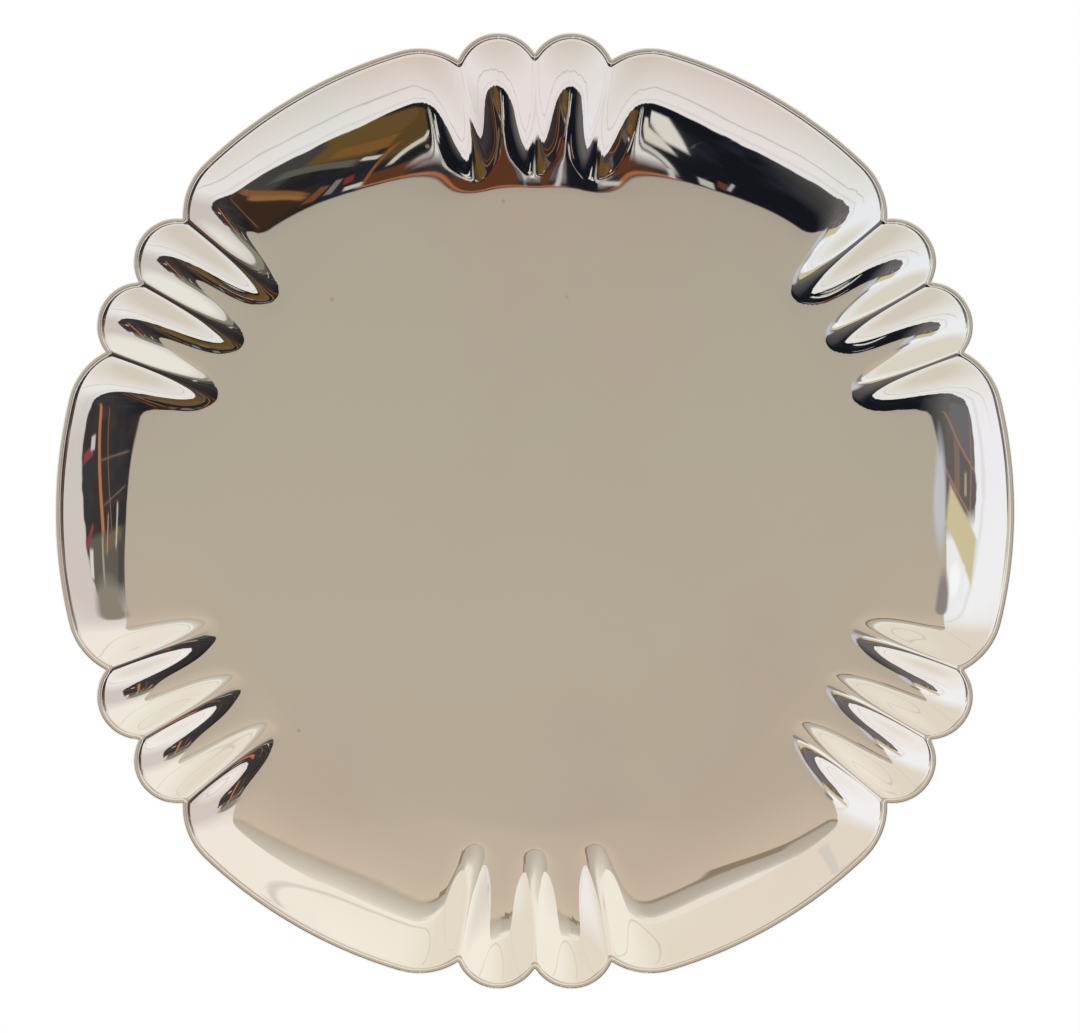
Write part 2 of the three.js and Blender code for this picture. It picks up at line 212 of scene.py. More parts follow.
class Wire:
    """A shader socket that joins in Python sums; one with no socket only makes nodes."""

    def __init__(self, tree, socket=None):
        self.tree = tree
        self.socket = socket

    def node(self, kind, settings=(), inputs=(), output=0):
        """Adds a node, with its settings first and then the values or links of its sockets."""
        made = self.tree.nodes.new(kind)
        for name, value in dict(settings).items():
            if name == "stops":
                set_stops(made.color_ramp, value)
            else:
                setattr(made, name, value)
        for name, value in dict(inputs).items():
            if isinstance(value, Wire):
                self.tree.links.new(value.socket, made.inputs[name])
            else:
                made.inputs[name].default_value = value
        return Wire(self.tree, made.outputs[output] if made.outputs else None)

    def beside(self, name):
        """Another output of the same node."""
        return Wire(self.tree, self.socket.node.outputs[name])

    def math(self, operation, *values):
        return self.node("ShaderNodeMath", {"operation": operation}, enumerate(values))

    def __add__(self, other):
        return self.math("ADD", self, other)

    __radd__ = __add__

    def __sub__(self, other):
        return self.math("SUBTRACT", self, other)

    def __rsub__(self, other):
        return self.math("SUBTRACT", other, self)

    def __mul__(self, other):
        return self.math("MULTIPLY", self, other)

    __rmul__ = __mul__

    def __truediv__(self, other):
        return self.math("DIVIDE", self, other)

    def __rtruediv__(self, other):
        return self.math("DIVIDE", other, self)

    def __pow__(self, other):
        return self.math("POWER", self, other)

    def __abs__(self):
        return self.math("ABSOLUTE", self)

    def clamp(self):
        return self.node("ShaderNodeClamp", {}, {"Value": self})

    def climb(self, start, slope):
        """0 up to a start, and from there up to 1 by a slope, which runs the other way below 0."""
        return ((self - start) * slope).clamp()

    def below(self, limit, blur):
        """1 where this value is below a limit, 0 above it, with a soft step between."""
        return self.node("ShaderNodeMapRange", {}, {
            "Value": self, "From Min": limit - blur / 2, "From Max": limit + blur / 2,
            "To Min": 1.0, "To Max": 0.0})

    def near(self, value, reach, blur):
        """1 within reach of a value, and 0 elsewhere."""
        return abs(self - value).below(reach, blur)

    def mix(self, first, second):
        """A colour from first to second, by this value."""
        return self.node(
            "ShaderNodeMix", {"data_type": "RGBA"}, {0: self, 6: solid(first), 7: solid(second)}, 2)

    def noise(self, place, scale, detail):
        """Soft random spots from 0 to 1."""
        return self.node(
            "ShaderNodeTexNoise", {}, {"Vector": place, "Scale": scale, "Detail": detail}, "Fac")

    def stretch(self, place, scale, turn=0.0):
        """Coordinates scaled along each axis, turned about Z."""
        return self.node(
            "ShaderNodeMapping", {}, {"Vector": place, "Scale": scale, "Rotation": (0, 0, turn)})

    def vector(self, x, y, z):
        return self.node("ShaderNodeCombineXYZ", {}, {"X": x, "Y": y, "Z": z})

    def parts(self):
        """The X of a vector, which has its Y and Z beside it."""
        return self.node("ShaderNodeSeparateXYZ", {}, {"Vector": self}, "X")


def solid(value):
    """A colour with its alpha, or a link as it is."""
    return value if isinstance(value, Wire) else (*value[:3], 1.0)


def set_stops(ramp, stops):
    """Gives a colour ramp its stops, each a place and a colour."""
    while len(ramp.elements) > 1:
        ramp.elements.remove(ramp.elements[-1])
    ramp.elements[0].position = stops[0][0]
    ramp.elements[0].color = solid(stops[0][1])
    for place, value in stops[1:]:
        ramp.elements.new(place).color = solid(value)


def screen(red, green, blue):
    """Light that a screen shows as this colour, each part from 0 to 255, by the usual screen curve."""
    parts = []
    for part in (red, green, blue):
        share = part / 255
        parts.append(share / 12.92 if share <= 0.04045 else ((share + 0.055) / 1.055) ** 2.4)
    return tuple(parts)


# Finishes

def new_material(name):
    material = bpy.data.materials.new(name)
    material.use_nodes = True
    material.node_tree.nodes.clear()
    return material, Wire(material.node_tree)


def start_metal(name):
    """A new material, with a maker of its nodes and the place on the piece."""
    material, wire = new_material(name)
    return material, wire, wire.node("ShaderNodeTexCoord", output="Object")


def axis_distance(x):
    """Distance from the stand's axis, for the rings of a turned piece."""
    return x.math("SQRT", x * x + x.beside("Y") * x.beside("Y"))


def close_metal(wire, colours, roughness, height, distance):
    """Ends a metal with its shader, whose surface is raised by height times distance."""
    bump = wire.node("ShaderNodeBump", {}, {"Height": height, "Distance": distance, "Strength": 1.0})
    metal = wire.node("ShaderNodeBsdfPrincipled", {}, {
        "Base Color": colours, "Metallic": 1.0, "Roughness": roughness, "Normal": bump})
    wire.node("ShaderNodeOutputMaterial", {}, {"Surface": metal})


def hairlines(wire, place, turn, scale):
    """Thin long scratches in one direction, only in patches of a scale."""
    along = wire.stretch(place, scale=(14, 170, 60), turn=turn)
    line = wire.noise(along, scale=1.0, detail=1.0).near(0.5, reach=0.003, blur=0.003)
    patch = 1 - wire.noise(place, scale, detail=2.0).below(0.62, blur=0.08)
    return line * patch


def mirror_silver(colours):
    """Mirror silver with a slow ripple from raising, scratches, pin pricks and stains, and painted shade
    that makes its far side darker and cooler.
    """
    material, wire, place = start_metal("mirror_silver")
    ripple = wire.noise(place, scale=26.0, detail=1.0)
    first_wipe = hairlines(wire, place, turn=0.4, scale=21.0)
    second_wipe = hairlines(wire, place, turn=1.9, scale=30.0)
    scratches = (first_wipe + second_wipe).clamp()
    pricks = wire.node("ShaderNodeTexVoronoi", {}, {"Vector": place, "Scale": 60.0}, "Distance")
    chosen = 1 - wire.noise(place, scale=19.0, detail=0.0).below(0.54, blur=0.02)
    specks = pricks.below(0.035, blur=0.03) * chosen
    # Painted shade: the silver turns darker and cooler towards its far side, +Y, in place of the dimmer
    # reflection there.
    far = place.parts().beside("Y")
    tint = (far * 4.5 + 0.5).clamp().mix(colours.polished, colours.film)
    stains = wire.noise(place, scale=13.0, detail=3.0)
    tint = stains.climb(0.5, slope=2.5).mix(tint, colours.stain)
    cloud = wire.noise(place, scale=9.0, detail=4.0)
    tint = cloud.climb(0.45, slope=0.3).mix(tint, colours.tarnish)
    shade = (specks * 0.6 + scratches * 0.03).mix(tint, colours.tarnish)
    wear = wire.noise(place, scale=70.0, detail=3.0)
    roughness = 0.02 + wear * 0.02 + scratches * 0.08 + specks * 0.2
    close_metal(wire, shade, roughness, ripple, distance=0.00006)
    return material


def spun_silver(colours):
    """Polished silver with the faint rings that spinning and turning leave."""
    material, wire, place = start_metal("spun_silver")
    x = place.parts()
    lathe = wire.vector(axis_distance(x) * 900, x.beside("Z") * 900, 0.0)
    rings = wire.noise(lathe, scale=1.0, detail=3.0)
    cloud = wire.noise(place, scale=24.0, detail=4.0)
    tint = cloud.climb(0.45, slope=0.6).mix(colours.turned, colours.tarnish)
    roughness = 0.07 + rings * 0.06 + cloud * 0.04
    close_metal(wire, tint, roughness, rings + cloud * 4, distance=0.000004)
    return material


def machined_steel(colours):
    """Plain steel with fine turning marks and dull patches."""
    material, wire, place = start_metal("machined_steel")
    marks = wire.noise(wire.stretch(place, scale=(500, 500, 5000)), scale=1.0, detail=2.0)
    cloud = wire.noise(place, scale=220.0, detail=4.0)
    tint = cloud.climb(0.4, slope=0.8).mix(colours.steel, colours.dull_steel)
    close_metal(wire, tint, 0.28 + cloud * 0.2, marks, distance=0.00001)
    return material


def dull_brass(colours):
    """Turned brass that has dulled and browned a little."""
    material, wire, place = start_metal("dull_brass")
    lathe = wire.vector(axis_distance(place.parts()) * 2500, 0.0, 0.0)
    rings = wire.noise(lathe, scale=1.0, detail=2.0)
    cloud = wire.noise(place, scale=140.0, detail=5.0)
    tint = cloud.climb(0.4, slope=1.5).mix(colours.brass, colours.browned)
    close_metal(wire, tint, 0.3 + cloud * 0.22, rings, distance=0.00002)
    return material


def finish(make, colours):
    """The material that is named as its maker, made when it is first asked for."""
    return bpy.data.materials.get(make.__name__) or make(colours)


# Modelling

def clear_selection():
    """Leaves edit mode and deselects everything."""
    if bpy.context.object and bpy.context.object.mode != "OBJECT":
        bpy.ops.object.mode_set(mode="OBJECT")
    bpy.ops.object.select_all(action="DESELECT")


def select_only(piece):
    clear_selection()
    piece.select_set(True)
    bpy.context.view_layer.objects.active = piece


def name_piece(name):
    """Names the object that was just added, and its mesh."""
    piece = bpy.context.object
    piece.name = name
    piece.data.name = name
    return piece


def close_seams():
    """In edit mode: joins the points that meet and turns the faces outwards."""
    bpy.ops.mesh.select_all(action="SELECT")
    bpy.ops.mesh.remove_doubles(threshold=WELD)
    bpy.ops.mesh.normals_make_consistent(inside=False)


def formed_grid(name, columns, rows, place):
    """A grid whose crossings are each moved to place(column, row)."""
    clear_selection()
    bpy.ops.mesh.primitive_grid_add(x_subdivisions=columns, y_subdivisions=rows, size=2)
    piece = name_piece(name)
    for point in piece.data.vertices:
        column = round((point.co.x + 1) / 2 * columns)
        row = round((point.co.y + 1) / 2 * rows)
        point.co = place(column, row)
    return piece


def turned_piece(name, profile, steps, turn=2 * math.pi, fill="NOTHING"):
    """A closed outline of (radius, height) points, spun about the axis."""
    clear_selection()
    bpy.ops.mesh.primitive_circle_add(vertices=len(profile), radius=1, fill_type=fill)
    piece = name_piece(name)
    for point, (radius, level) in zip(piece.data.vertices, profile):
        point.co = (radius, 0, level)
    bpy.ops.object.mode_set(mode="EDIT")
    bpy.ops.mesh.select_all(action="SELECT")
    bpy.ops.mesh.spin(steps=steps, angle=turn, center=(0, 0, 0), axis=(0, 0, 1))
    close_seams()
    bpy.ops.object.mode_set(mode="OBJECT")
    return piece


def apply_modifier(piece, kind, **settings):
    """Adds a modifier with its settings, and applies it."""
    select_only(piece)
    modifier = piece.modifiers.new(kind.lower(), kind)
    for name, value in settings.items():
        setattr(modifier, name, value)
    bpy.ops.object.modifier_apply(modifier=modifier.name)


def ease_edges(piece, width):
    """Rounds the sharp edges of a piece."""
    apply_modifier(
        piece, "BEVEL", width=width, segments=2, limit_method="ANGLE", angle_limit=EASED_ANGLE)


def keep_inside(piece, tool):
    """Keeps what lies inside a tool, which is then removed."""
    apply_modifier(piece, "BOOLEAN", operation="INTERSECT", object=tool, solver="EXACT")
    bpy.data.objects.remove(tool)


def seat_piece(piece, node, material):
    """Gives a finished piece its finish and its place in the frame."""
    select_only(piece)
    bpy.ops.object.shade_smooth_by_angle(angle=SMOOTH_ANGLE)
    piece.data.materials.append(material)
    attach(piece, BODY)
    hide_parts(node)


def arc(centre, size, start, end, steps):
    """Points of an elliptic arc in an outline, with its angles in quarter turns."""
    points = []
    for step in range(steps + 1):
        swing = (start + (end - start) * step / steps) * math.pi / 2
        points.append((centre[0] + size[0] * math.cos(swing), centre[1] + size[1] * math.sin(swing)))
    return points


def flat_ring(inside, outside, low, high):
    """Outline of a plain flat ring."""
    return [(inside, low), (outside, low), (outside, high), (inside, high)]


# Dish

class RimPlan:
    """The fluted rim, where angles are from the middle of a flute group."""

    def __init__(self, sizes):
        self.sizes = sizes
        self.radius = sizes.radius
        self.cusp = self.radius - sizes.cusp_depth
        self.half_pitch = math.asin(sizes.lobe_width / 2 / self.cusp)
        self.pitch = 2 * self.half_pitch
        rise = self.radius - self.cusp * math.cos(self.half_pitch)
        self.lobe = (rise ** 2 + (sizes.lobe_width / 2) ** 2) / (2 * rise)
        self.shoulder = sizes.shoulder_radius
        self.shoulder_centre = self.radius - self.shoulder
        opposite = self.cusp ** 2 + self.shoulder_centre ** 2 - self.shoulder ** 2
        self.shoulder_turn = math.acos(opposite / (2 * self.cusp * self.shoulder_centre))
        self.sector = 2 * math.pi / sizes.groups
        self.lobe_slant = (self.radius - self.lobe) * math.sin(self.half_pitch) / self.lobe
        self.shoulder_slant = self.shoulder_centre * math.sin(self.shoulder_turn) / self.shoulder
        self.rise = sizes.lip_top - sizes.well_top
        self.wall_start = self.radius - sizes.wall_run
        self.nose = self.radius - sizes.ridge_run

    def edge(self, angle, inset):
        """Radius of the rim drawn in by inset, round the corner at a cusp."""
        turn = abs(angle)
        from_cusp = min(turn, abs(turn - self.pitch))
        side = self.cusp * math.sin(from_cusp)
        slant = self.lobe_slant if turn <= self.pitch else self.shoulder_slant
        if side < inset * slant:
            return self.cusp * math.cos(from_cusp) - math.sqrt(inset ** 2 - side ** 2)
        if turn <= self.pitch:
            return arc_reach(turn - self.half_pitch, self.radius - self.lobe, self.lobe - inset)
        from_crown = turn - self.pitch - self.shoulder_turn
        if from_crown <= 0:
            return arc_reach(from_crown, self.shoulder_centre, self.shoulder - inset)
        return self.radius - inset

    def apron(self, radius, turn, share):
        """Gentle rise between the ridges, which fades out towards the middle of a plain stretch."""
        sizes = self.sizes
        plain_middle = self.sector / 2
        within = min((plain_middle - turn) / (plain_middle - self.pitch), 1)
        blend = within ** 2 * (3 - 2 * within)
        past = max(radius - (self.radius - sizes.apron_run), 0)
        climb = sizes.apron_slope * (math.hypot(past, sizes.apron_ease) - sizes.apron_ease)
        return climb * max(1 - share, 0) ** sizes.apron_fade * blend

    def eased_lip(self, radius, turn, soft):
        """Radius of the lip with the corner at each cusp rounded off."""
        crest = 0 if turn < self.half_pitch else self.pitch
        away = (turn - crest) / self.half_pitch
        share = soft / (self.half_pitch * radius)
        eased = (math.hypot(away, share) - share) / (math.hypot(1, share) - share) * self.half_pitch
        return self.edge(crest + math.copysign(eased, away), self.sizes.wire_width)

    def level(self, radius, angle, lip):
        """Height above the well, where lip is the radius of the lip in that direction."""
        sizes = self.sizes
        turn = abs(angle)
        reach = radius - self.nose
        up = min(max(reach / (lip - self.nose), 0), 1)
        soft = sizes.crest_round + sizes.nose_round * (1 - up) ** 2
        eased_lip = self.eased_lip(radius, turn, soft)
        lip = eased_lip + (lip - eased_lip) * up ** LIP_POWER
        share = max((radius - self.wall_start) / (lip - self.wall_start), 0)
        valley = self.rise * share ** sizes.wall_power + self.apron(radius, turn, share)
        if reach <= 0:
            return valley
        away = min(turn, abs(turn - self.pitch)) * radius
        foot = sizes.ridge_foot
        if reach < foot:
            half = math.sqrt(foot ** 2 - (foot - reach) ** 2)
        else:
            half = foot + sizes.ridge_spread * (reach - foot)
        across = min((math.hypot(away, soft) - soft) / (math.hypot(half, soft) - soft), 1)
        along = min(reach / (lip - self.nose), 1)
        fullness = sizes.nose_fullness * (1 - along) ** 2
        fold = (1 - across) ** sizes.ridge_power * (1 + fullness * across)
        ease = sizes.nose_ease
        behind = sizes.nose_bow * across * (1 - along) ** 2
        run = max(along - behind / (lip - self.nose), 0)
        eased = (math.hypot(run, ease) - ease) / (math.hypot(1, ease) - ease)
        crest = self.rise * eased ** sizes.crest_power
        return valley + max(crest - valley, 0) * fold

    def stations(self):
        """Angles round the dish, close together at the cusps, each with its angle in its group."""
        sizes = self.sizes
        half = []
        for step in range(sizes.lobe_steps):
            half.append(self.pitch * (1 - math.cos(math.pi * step / sizes.lobe_steps)) / 2)
        for step in range(sizes.shoulder_steps):
            half.append(self.pitch + self.shoulder_turn * (step / sizes.shoulder_steps) ** 2)
        crown = self.pitch + self.shoulder_turn
        for step in range(sizes.panel_steps):
            half.append(crown + (self.sector / 2 - crown) * step / sizes.panel_steps)
        offsets = [-self.sector / 2, *(-angle for angle in reversed(half[1:])), *half]
        found = []
        for group in range(sizes.groups):
            middle = self.sector * (group + 0.5)
            found.extend((middle + local, local) for local in offsets)
        found.append((found[0][0] + 2 * math.pi, found[0][1]))
        return found


def arc_reach(angle, centre, radius):
    """Distance from the axis to a round edge, at an angle from the line to the round's centre."""
    side = centre * math.sin(angle)
    return centre * math.cos(angle) + math.sqrt(max(radius ** 2 - side ** 2, 0))


def polar(angle, radius, level):
    """A point at an angle about the stand's axis."""
    return (radius * math.cos(angle), radius * math.sin(angle), level)


class STAND_OT_dish(bpy.types.Operator):
    """Raise the fluted dish from one sheet"""

    bl_idname = "dessert_stand.dish"
    bl_label = "Dish"

    def execute(self, context):
        sizes = context.scene.stand_dish
        plan = RimPlan(sizes)
        stations = plan.stations()
        lips = [plan.edge(local, sizes.wire_width) for _, local in stations]
        lip_row = sizes.well_rows + sizes.wall_rows

        def place(column, row):
            angle, local = stations[column]
            lip = lips[column]
            if row <= sizes.well_rows:
                return polar(angle, plan.wall_start * row / sizes.well_rows, sizes.well_top)
            if row > lip_row:
                return polar(angle, plan.edge(local, sizes.lip_setback), sizes.lip_top)
            share = (row - sizes.well_rows) / sizes.wall_rows
            share *= 1 - WALL_BUNCH + WALL_BUNCH * share
            radius = plan.wall_start + (lip - plan.wall_start) * share
            return polar(angle, radius, sizes.well_top + plan.level(radius, local, lip))

        piece = formed_grid("dish_sheet", len(stations) - 1, lip_row + 1, place)
        bpy.ops.object.mode_set(mode="EDIT")
        close_seams()
        bpy.ops.mesh.extrude_region_move(TRANSFORM_OT_translate={"value": (0, 0, -sizes.sheet)})
        close_seams()
        bpy.ops.object.mode_set(mode="OBJECT")
        silver = finish(mirror_silver, context.scene.stand_finishes)
        seat_piece(piece, "dish", silver)
        return {"FINISHED"}


class STAND_OT_rim_wire(bpy.types.Operator):
    """Run the flat-topped wire along the dish's edge"""

    bl_idname = "dessert_stand.rim_wire"
    bl_label = "Rim Wire"

    def execute(self, context):
        sizes = context.scene.stand_dish
        plan = RimPlan(sizes)
        stations = plan.stations()
        width = sizes.wire_width
        bend = sizes.wire_round
        low = RIM_LOW.z
        high = RIM_HIGH.z - EDGE_HAIR
        section = [(0.0, low)]
        section += arc((bend, high - bend), (-bend, bend), 0, 1, WIRE_EDGE_STEPS)
        section += arc((width - bend, high - bend), (bend, bend), 1, 0, WIRE_EDGE_STEPS)
        section += [(width, low), (0.0, low)]

        def place(column, row):
            angle, local = stations[column]
            inset, level = section[row]
            return polar(angle, plan.edge(local, inset), level)

        piece = formed_grid("rim_band", len(stations) - 1, len(section) - 1, place)
        bpy.ops.object.mode_set(mode="EDIT")
        close_seams()
        bpy.ops.object.mode_set(mode="OBJECT")
        silver = finish(mirror_silver, context.scene.stand_finishes)
        seat_piece(piece, "rim_wire", silver)
        return {"FINISHED"}


# Stem and foot

class STAND_OT_boss(bpy.types.Operator):
    """Turn the boss that is soldered under the dish"""

    bl_idname = "dessert_stand.boss"
    bl_label = "Boss"

    def execute(self, context):
        sizes = context.scene.stand_foot
        hole = context.scene.stand_fastening.stud_hole
        outside = BOSS_HIGH.x
        under = COLLAR_HIGH.z
        piece = turned_piece("boss_disc", [
            (hole, BOSS_LOW.z),
            (sizes.spigot_radius, BOSS_LOW.z),
            (sizes.spigot_radius, under),
            (outside - sizes.boss_bevel, under),
            (outside, under + sizes.boss_bevel),
            (outside, BOSS_HIGH.z),
            (0, BOSS_HIGH.z),
            (0, under),
            (hole, under),
        ], sizes.steps)
        ease_edges(piece, sizes.edge)
        brass = finish(dull_brass, context.scene.stand_finishes)
        seat_piece(piece, "dish_boss", brass)
        return {"FINISHED"}


class STAND_OT_stem(bpy.types.Operator):
    """Turn the stem and the bead ring over it"""

    bl_idname = "dessert_stand.stem"
    bl_label = "Stem"

    def execute(self, context):
        sizes = context.scene.stand_foot
        silver = finish(spun_silver, context.scene.stand_finishes)
        half = (COLLAR_HIGH.z - COLLAR_LOW.z) / 2
        bead_size = (COLLAR_HIGH.x - sizes.stem_radius, half)
        bead = arc((sizes.stem_radius, COLLAR_LOW.z + half), bead_size, -1, 1, BEAD_STEPS)
        collar = turned_piece("collar_bead", [
            (sizes.socket_radius, COLLAR_LOW.z), *bead, (sizes.socket_radius, COLLAR_HIGH.z),
        ], sizes.steps)
        seat_piece(collar, "stem_collar", silver)
        bottom = SHELL_HIGH.z
        top = COLLAR_LOW.z
        waist = (bottom + top) / 2
        hollow_size = (sizes.waist_radius - sizes.stem_radius, (top - bottom) / 2 - sizes.stem_land)
        hollow = arc((sizes.stem_radius, waist), hollow_size, -1, 1, WAIST_STEPS)
        stem = turned_piece("stem_spool", [
            (sizes.socket_radius, bottom - sizes.tenon_reach),
            (sizes.tenon_radius, bottom - sizes.tenon_reach),
            (sizes.tenon_radius, bottom),
            (sizes.stem_radius, bottom),
            *hollow,
            (sizes.stem_radius, top),
            (sizes.socket_radius, top),
        ], sizes.steps)
        ease_edges(stem, sizes.edge)
        seat_piece(stem, "stem", silver)
        return {"FINISHED"}


def foot_face(sizes, inset, top):
    """One face of the spun foot up to a level in its neck, drawn in by inset for the inner face."""
    band = SHELL_HIGH.x
    base = SHELL_LOW.z
    ledge = base + sizes.foot_band + sizes.foot_ovolo
    neck = SHELL_HIGH.z
    sweep_start = band - sizes.foot_ovolo - sizes.foot_fillet
    ovolo = sizes.foot_ovolo
    rounding = arc((band - ovolo, ledge - ovolo), (ovolo - inset, ovolo - inset), 0, 1, OVOLO_STEPS)
    rise = neck - ledge + inset
    last = -2 + math.asin((neck - top) / rise) / (math.pi / 2)
    sweep_size = (sweep_start - sizes.neck_radius + inset, rise)
    sweep = arc((sweep_start, neck), sweep_size, -1, last, SWEEP_STEPS)
    return [(band - inset, base), *rounding, *sweep]


class STAND_OT_foot(bpy.types.Operator):
    """Spin the hollow foot and lay the ring under its edge"""

    bl_idname = "dessert_stand.foot"
    bl_label = "Foot"

    def execute(self, context):
        sizes = context.scene.stand_foot
        silver = finish(spun_silver, context.scene.stand_finishes)
        neck = SHELL_HIGH.z
        inner_top = neck - sizes.foot_sheet
        shell = turned_piece("foot_spun", [
            *foot_face(sizes, 0, neck),
            (sizes.neck_hole, neck),
            (sizes.neck_hole, inner_top),
            *reversed(foot_face(sizes, sizes.foot_sheet, inner_top)),
        ], sizes.steps)
        ease_edges(shell, sizes.edge)
        seat_piece(shell, "foot_shell", silver)
        half = (WIRE_HIGH.z - WIRE_LOW.z) / 2
        bulge = arc((WIRE_HIGH.x - half, WIRE_LOW.z + half), (half, half), -1, 1, BULGE_STEPS)
        inside = WIRE_HIGH.x - sizes.wire_width
        ring = turned_piece(
            "foot_ring", [(inside, WIRE_LOW.z), *bulge, (inside, WIRE_HIGH.z)], sizes.steps)
        ease_edges(ring, sizes.edge)
        seat_piece(ring, "foot_wire", silver)
        return {"FINISHED"}


class STAND_OT_fastening(bpy.types.Operator):
    """Make the stud, plate, split washer and nut that hold the stand together"""

    bl_idname = "dessert_stand.fastening"
    bl_label = "Fastening"

    def execute(self, context):
        sizes = context.scene.stand_fastening
        finishes = context.scene.stand_finishes
        steel = finish(machined_steel, finishes)
        brass = finish(dull_brass, finishes)
        section = flat_ring(sizes.stud_hole, PLATE_HIGH.x, PLATE_LOW.z, PLATE_HIGH.z)
        plate = turned_piece("plate_disc", section, sizes.steps)
        ease_edges(plate, sizes.edge)
        seat_piece(plate, "clamp_plate", brass)
        washer = self.make_washer(sizes)
        seat_piece(washer, "spring_washer", steel)
        nut = self.make_nut(sizes)
        seat_piece(nut, "foot_nut", steel)
        stud = self.make_stud(sizes)
        seat_piece(stud, "tie_stud", steel)
        return {"FINISHED"}

    def make_washer(self, sizes):
        opening = math.radians(sizes.washer_gap)
        section = flat_ring(sizes.stud_hole, WASHER_HIGH.y, WASHER_LOW.z, WASHER_HIGH.z)
        washer = turned_piece("washer_split", section, sizes.steps, 2 * math.pi - opening, "NGON")
        bpy.ops.object.mode_set(mode="EDIT")
        bpy.ops.mesh.select_all(action="SELECT")
        bpy.ops.transform.rotate(value=-opening / 2, orient_axis="Z", center_override=(0, 0, 0))
        bpy.ops.object.mode_set(mode="OBJECT")
        ease_edges(washer, sizes.edge)
        return washer

    def make_nut(self, sizes):
        corner = NUT_HIGH.x
        height = NUT_HIGH.z - NUT_LOW.z
        clear_selection()
        bpy.ops.mesh.primitive_cylinder_add(vertices=NUT_SIDES, radius=corner, depth=height)
        nut = name_piece("nut_hex")
        bpy.ops.object.mode_set(mode="EDIT")
        bpy.ops.mesh.select_all(action="SELECT")
        bpy.ops.transform.rotate(
            value=math.pi / NUT_SIDES, orient_axis="Z", center_override=(0, 0, 0))
        bpy.ops.transform.translate(value=(0, 0, NUT_LOW.z + height / 2))
        bpy.ops.object.mode_set(mode="OBJECT")
        flat = corner * math.cos(math.pi / NUT_SIDES)
        slope = sizes.nut_chamfer
        cone = turned_piece("nut_cone", [
            (sizes.stud_hole, NUT_LOW.z - slope),
            (flat, NUT_LOW.z),
            (corner + slope, NUT_LOW.z + slope),
            (corner + slope, NUT_HIGH.z - slope),
            (flat, NUT_HIGH.z),
            (sizes.stud_hole, NUT_HIGH.z + slope),
        ], sizes.steps)
        keep_inside(nut, cone)
        ease_edges(nut, sizes.edge)
        return nut

    def make_stud(self, sizes):
        outside = STUD_HIGH.x
        root = outside - sizes.thread_depth
        pitch = sizes.thread_pitch
        turns = math.ceil((STUD_HIGH.z - STUD_LOW.z) / pitch) + 2
        root_end, crest_start, crest_end = THREAD_SHARES
        section = [(root, 0), (root, root_end), (outside, crest_start), (outside, crest_end), (root, 1)]
        clear_selection()
        bpy.ops.mesh.primitive_circle_add(vertices=len(section), radius=1, fill_type="NOTHING")
        stud = name_piece("stud_thread")
        start = STUD_LOW.z - pitch
        for point, (radius, share) in zip(stud.data.vertices, section):
            point.co = (radius, 0, start + share * pitch)
        bpy.ops.object.mode_set(mode="EDIT")
        bpy.ops.mesh.select_all(action="DESELECT")
        bpy.ops.object.mode_set(mode="OBJECT")
        # The edge that closes the outline spans the whole pitch, and goes.
        for edge in stud.data.edges:
            ends = [stud.data.vertices[index].co.z for index in edge.vertices]
            edge.select = max(ends) - min(ends) > 0.9 * pitch
        bpy.ops.object.mode_set(mode="EDIT")
        bpy.ops.mesh.select_mode(type="EDGE")
        bpy.ops.mesh.delete(type="EDGE")
        bpy.ops.mesh.select_mode(type="VERT")
        bpy.ops.object.mode_set(mode="OBJECT")
        apply_modifier(
            stud, "SCREW", angle=2 * math.pi, screw_offset=pitch, iterations=turns, axis="Z",
            steps=THREAD_STEPS, render_steps=THREAD_STEPS, use_merge_vertices=True, merge_threshold=WELD)
        bpy.ops.object.mode_set(mode="EDIT")
        for level, below in ((STUD_LOW.z, True), (STUD_HIGH.z, False)):
            bpy.ops.mesh.select_all(action="SELECT")
            bpy.ops.mesh.bisect(
                plane_co=(0, 0, level), plane_no=(0, 0, 1), use_fill=True,
                clear_inner=below, clear_outer=not below)
        close_seams()
        bpy.ops.object.mode_set(mode="OBJECT")
        return stud


# Stage

def floor_white(glow, light):
    """A white floor that keeps the stand's soft shadow."""
    material, wire = new_material("floor_white")
    path = wire.node("ShaderNodeLightPath", output="Is Camera Ray")
    seen = (path + path.beside("Is Glossy Ray") + path.beside("Is Transmission Ray")).clamp()
    paper = wire.node("ShaderNodeBsdfDiffuse", {}, {"Color": solid(PAPER_WHITE)})
    white = wire.node("ShaderNodeEmission", {}, {"Strength": light})
    both = wire.node("ShaderNodeMixShader", {}, {0: seen * glow, 1: paper, 2: white})
    wire.node("ShaderNodeOutputMaterial", {}, {"Surface": both})
    return material


